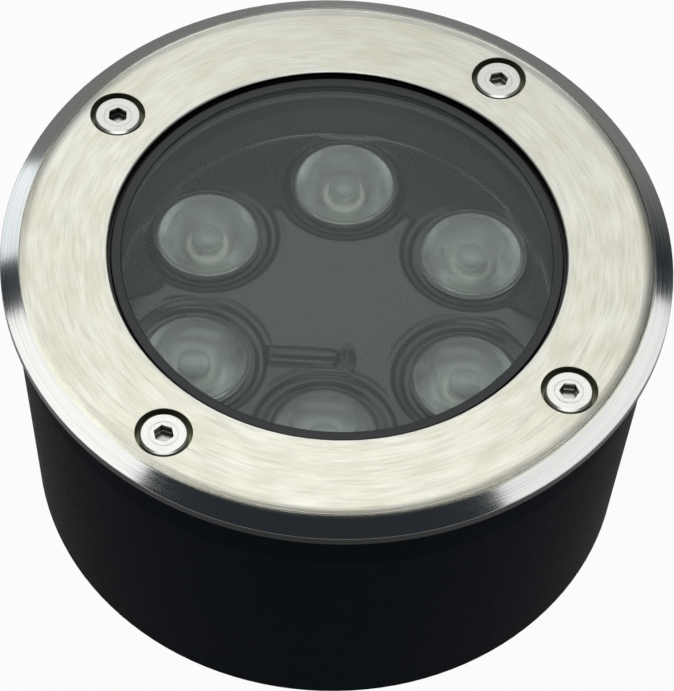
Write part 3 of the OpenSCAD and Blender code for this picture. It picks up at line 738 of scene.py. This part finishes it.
def splice_rise(x, y):
    """The potted splice: a swelling over the sleeve, a knot past its end and a dip round both."""
    along = np.clip(x, SPLICE_FROM, SPLICE_TO)
    away = np.hypot(x - along, y - SPLICE_Y)
    round_top = np.sqrt(np.clip(SPLICE_R ** 2 - away ** 2, 0.0, None))
    tube = round_top + STAR_DEPTH - SPLICE_DEPTH
    knot = KNOT_H * np.exp(-(((x - KNOT_X) / 1.2) ** 2) - ((y - SPLICE_Y + 0.3) / 2.6) ** 2)
    neck = NECK_H * np.exp(-(((x - NECK_X) / 0.9) ** 2) - ((y - SPLICE_Y + 0.1) / 0.6) ** 2)
    reach = np.hypot(x - np.clip(x, SPLICE_FROM, DIP_TO), y - SPLICE_Y)
    dip = -DIP_DROP * ridge(reach, DIP_REACH, 1.0)
    return np.maximum(np.maximum(tube, knot) + neck, dip)


def nearest_lens(x, y):
    """How far each point is from the nearest lens's axis, and how far inward it lies, from 1 to -1."""
    away = np.full_like(x, 1000.0)
    inward = np.zeros_like(x)
    for centre_x, centre_y in lens_centres():
        offset_x = x - centre_x
        offset_y = y - centre_y
        distance = np.hypot(offset_x, offset_y)
        facing = -(offset_x * centre_x + offset_y * centre_y) / (LENS_CIRCLE_R * np.maximum(distance, 0.01))
        nearer = distance < away
        away = np.where(nearer, distance, away)
        inward = np.where(nearer, facing, inward)
    return away, inward


def resin_depth(x, y):
    """How far the resin's skin lies under the ring's face, in millimetres."""
    radius = np.hypot(x, y)
    away, inward = nearest_lens(x, y)
    inner = ease(-0.25, 0.35, inward)
    on_star = ease(STAR_SLOPE, -STAR_SLOPE, radius - star_reach(np.arctan2(y, x)))
    raised = on_star * ease(SCALLOP_R - 0.5, SCALLOP_R + 0.5, away)
    rise = (RESIN_BASE_DEPTH - STAR_DEPTH) * raised
    rise = rise + RELIEF_H * ridge(away, SCALLOP_R + 1.0, LIP_WIDTH) * inner * on_star
    rise = rise + RELIEF_H * ridge(away, BANK_R, BANK_WIDTH) * inner
    rise = rise - MOAT_DROP * ease(SCALLOP_R - 0.4, MOAT_FLOOR_R, away)
    rise = rise + MENISCUS_H * np.exp(-(BORE_R - radius) / MENISCUS_WIDTH)
    rise = rise + splice_rise(x, y) * ease(SCALLOP_R - 0.6, SCALLOP_R + 0.8, away)
    return RESIN_BASE_DEPTH - rise


def snapped(x, y):
    """Moves the points next to an edge of the resin onto that edge."""
    radius = np.hypot(x, y)
    scale = np.where(radius > BORE_R, BORE_R / np.maximum(radius, 0.01), 1.0)
    x = x * scale
    y = y * scale
    for centre_x, centre_y in lens_centres():
        distance = np.hypot(x - centre_x, y - centre_y)
        scale = np.where(distance < HOLE_R, HOLE_R / np.maximum(distance, 0.01), 1.0)
        x = centre_x + (x - centre_x) * scale
        y = centre_y + (y - centre_y) * scale
    return x, y


def close_below(mesh, level):
    """Draws a skin's edges down to a level and closes it there.

    The walls are made one by one, because bmesh's own extrusion puts them in another order each run.
    """
    work = bmesh.new()
    work.from_mesh(mesh)
    rim = [edge for edge in work.edges if edge.is_boundary]
    lowered = {}
    for edge in rim:
        edge.smooth = False
        for corner in edge.verts:
            if corner not in lowered:
                lowered[corner] = work.verts.new((corner.co.x, corner.co.y, level))
    bottom = []
    for edge in rim:
        first, second = edge.verts
        work.faces.new((first, second, lowered[second], lowered[first]))
        bottom.append(work.edges.get((lowered[first], lowered[second])))
    for face in work.faces:
        face.smooth = True
    bmesh.ops.triangle_fill(work, use_beauty=False, edges=bottom)
    bmesh.ops.recalc_face_normals(work, faces=work.faces)
    work.to_mesh(mesh)
    work.free()


def make_resin(finish):
    """The potting resin as a sculpted skin with its walls and its flat bottom."""
    half = int(BORE_R / RESIN_STEP) + 2
    line = np.arange(-half, half + 1) * RESIN_STEP
    x, y = np.meshgrid(line, line, indexing="ij")
    inside = np.hypot(x, y) < BORE_R
    for centre_x, centre_y in lens_centres():
        inside &= np.hypot(x - centre_x, y - centre_y) > HOLE_R
    kept = inside[:-1, :-1] | inside[1:, :-1] | inside[:-1, 1:] | inside[1:, 1:]
    x, y = snapped(x, y)
    depth = resin_depth(x, y)
    size = len(line)
    numbers = np.arange(size * size).reshape(size, size)
    quads = np.stack([numbers[:-1, :-1], numbers[1:, :-1], numbers[1:, 1:], numbers[:-1, 1:]], -1)[kept]
    used, faces = np.unique(quads, return_inverse=True)
    points = np.stack([x.ravel() * MM, y.ravel() * MM, FACE_Z - depth.ravel() * MM], -1)[used]
    mesh = bpy.data.meshes.new("resin_skin")
    mesh.from_pydata(points.tolist(), [], faces.reshape(-1, 4).tolist())
    close_below(mesh, FACE_Z - RESIN_FLOOR_DEPTH * MM)
    mesh.materials.append(finish)
    made = add_piece("resin_skin", mesh, "dark_resin", "resin_fill")
    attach(made, "lamp_unit")


def pale_floor():
    """Near white for the eye, with a small share left that keeps the lamp's shadow."""
    white_share = 0.95
    recipe = Recipe("pale_floor")
    grain = recipe.noise(recipe.place(), 60.0, 3.0)
    recipe.surface(Base_Color=recipe.mix(grain, (0.86, 0.86, 0.86, 1.0), (0.90, 0.90, 0.90, 1.0)))
    recipe.surface(Roughness=0.9, Specular_IOR_Level=0.0)
    glow = recipe.node("ShaderNodeEmission")
    glow.inputs["Strength"].default_value = 1.0
    path = recipe.node("ShaderNodeLightPath")
    seen = recipe.math("MAXIMUM", path.outputs["Is Camera Ray"], path.outputs["Is Glossy Ray"])
    seen = recipe.math("MAXIMUM", seen, path.outputs["Is Transmission Ray"])
    recipe.replace_by(recipe.math("MULTIPLY", seen, white_share), glow)
    return recipe.material


def studio_floor():
    """A wide floor, just under the sleeve's foot so that the two don't fight for the same level."""
    reach = 40.0
    level = -0.05 * MM
    mesh = bpy.data.meshes.new("floor")
    corners = [(-reach, -reach, level), (reach, -reach, level), (reach, reach, level), (-reach, reach, level)]
    mesh.from_pydata(corners, [], [(0, 1, 2, 3)])
    floor = bpy.data.objects.new("floor", mesh)
    bpy.context.scene.collection.objects.link(floor)
    mesh.materials.append(pale_floor())


def softbox(name, towards, along, distance, size, radiance, colour):
    """An area lamp of even radiance that faces the lamp's ring, its first side laid along a direction."""
    lamp = bpy.data.lights.new(name, "AREA")
    lamp.shape = "RECTANGLE"
    lamp.size, lamp.size_y = size
    lamp.energy = radiance * math.pi * size[0] * size[1]
    lamp.color = colour
    outward = Vector(towards).normalized()
    first = Vector(along) - outward * outward.dot(Vector(along))
    first.normalize()
    turned = Matrix((first, outward.cross(first), outward)).transposed()
    place = Vector((0.0, 0.0, FACE_Z)) + outward * distance
    made = bpy.data.objects.new(name, lamp)
    made.matrix_world = Matrix.LocRotScale(place, turned.to_quaternion(), None)
    bpy.context.scene.collection.objects.link(made)


def studio_lights():
    """Softboxes over, beside and behind the lamp, and a broad one at the camera's side."""
    white = (1.0, 1.0, 0.99)
    cool = (0.92, 0.96, 1.0)
    level = (1.0, 0.0, 0.0)
    near = 1.2
    far = 1.5
    softbox("softbox_top", (-0.07, 0.47, 0.88), level, near, (0.98, 0.66), 1.42, white)
    softbox("softbox_left", (-0.60, 0.15, 0.79), (-0.37, 0.81, -0.46), near, (0.80, 0.52), 1.12, white)
    softbox("softbox_right", (0.635, 0.19, 0.75), (0.35, 0.60, -0.35), near, (1.02, 0.42), 0.95, white)
    softbox("softbox_back", (0.0, 0.87, 0.49), level, near, (0.75, 0.26), 1.2, cool)
    softbox("softbox_back_left", (-0.630, 0.640, 0.438), (-0.10, -0.16, 0.14), near, (0.36, 0.34), 1.0, cool)
    softbox("softbox_front", (0.05, -0.77, 0.64), level, far, (1.8, 1.0), 1.5, white)


def studio_world():
    """Dark surroundings with a soft grey horizon."""
    horizon = (0.20, 0.205, 0.20, 1.0)
    overhead = (0.022, 0.026, 0.032, 1.0)
    world = bpy.data.worlds.new("studio")
    world.use_nodes = True
    tree = world.node_tree
    place = tree.nodes.new("ShaderNodeTexCoord")
    split = tree.nodes.new("ShaderNodeSeparateXYZ")
    ramp = tree.nodes.new("ShaderNodeValToRGB")
    ramp.color_ramp.elements[0].position = 0.30
    ramp.color_ramp.elements[0].color = horizon
    ramp.color_ramp.elements[1].position = 0.44
    ramp.color_ramp.elements[1].color = overhead
    tree.links.new(place.outputs["Generated"], split.inputs[0])
    tree.links.new(split.outputs["Z"], ramp.inputs[0])
    tree.links.new(ramp.outputs[0], tree.nodes["Background"].inputs["Color"])
    bpy.context.scene.world = world


def place_camera():
    """Puts the camera where the photograph was taken from."""
    rise = math.radians(CAMERA_ELEVATION)
    target = Vector((0.0, 0.0, FACE_Z))
    eye = target + Vector((0.0, -math.cos(rise), math.sin(rise))) * CAMERA_DISTANCE
    base = (target - eye).to_track_quat("-Z", "Y").to_matrix()
    roll = Matrix.Rotation(math.radians(CAMERA_ROLL), 3, "Z")
    tilt = Matrix.Rotation(math.radians(CAMERA_TILT), 3, "X")
    pan = Matrix.Rotation(math.radians(CAMERA_PAN), 3, "Y")
    turned = base @ (roll @ tilt @ pan).transposed()
    lens = bpy.data.cameras.new("camera")
    lens.lens = CAMERA_LENS
    lens.sensor_width = SENSOR
    lens.clip_start = 0.01
    camera = bpy.data.objects.new("camera", lens)
    camera.matrix_world = Matrix.LocRotScale(eye, turned.to_quaternion(), None)
    bpy.context.scene.collection.objects.link(camera)
    bpy.context.scene.camera = camera


place_camera()
materials = finishes()
dress_nodes(materials)
make_lenses(materials["lens_acrylic"], frosted_acrylic())
make_gasket(materials["dark_silicone"])
make_resin(materials["dark_resin"])
studio_floor()
studio_lights()
studio_world()
bpy.context.scene.view_settings.view_transform = "Standard"
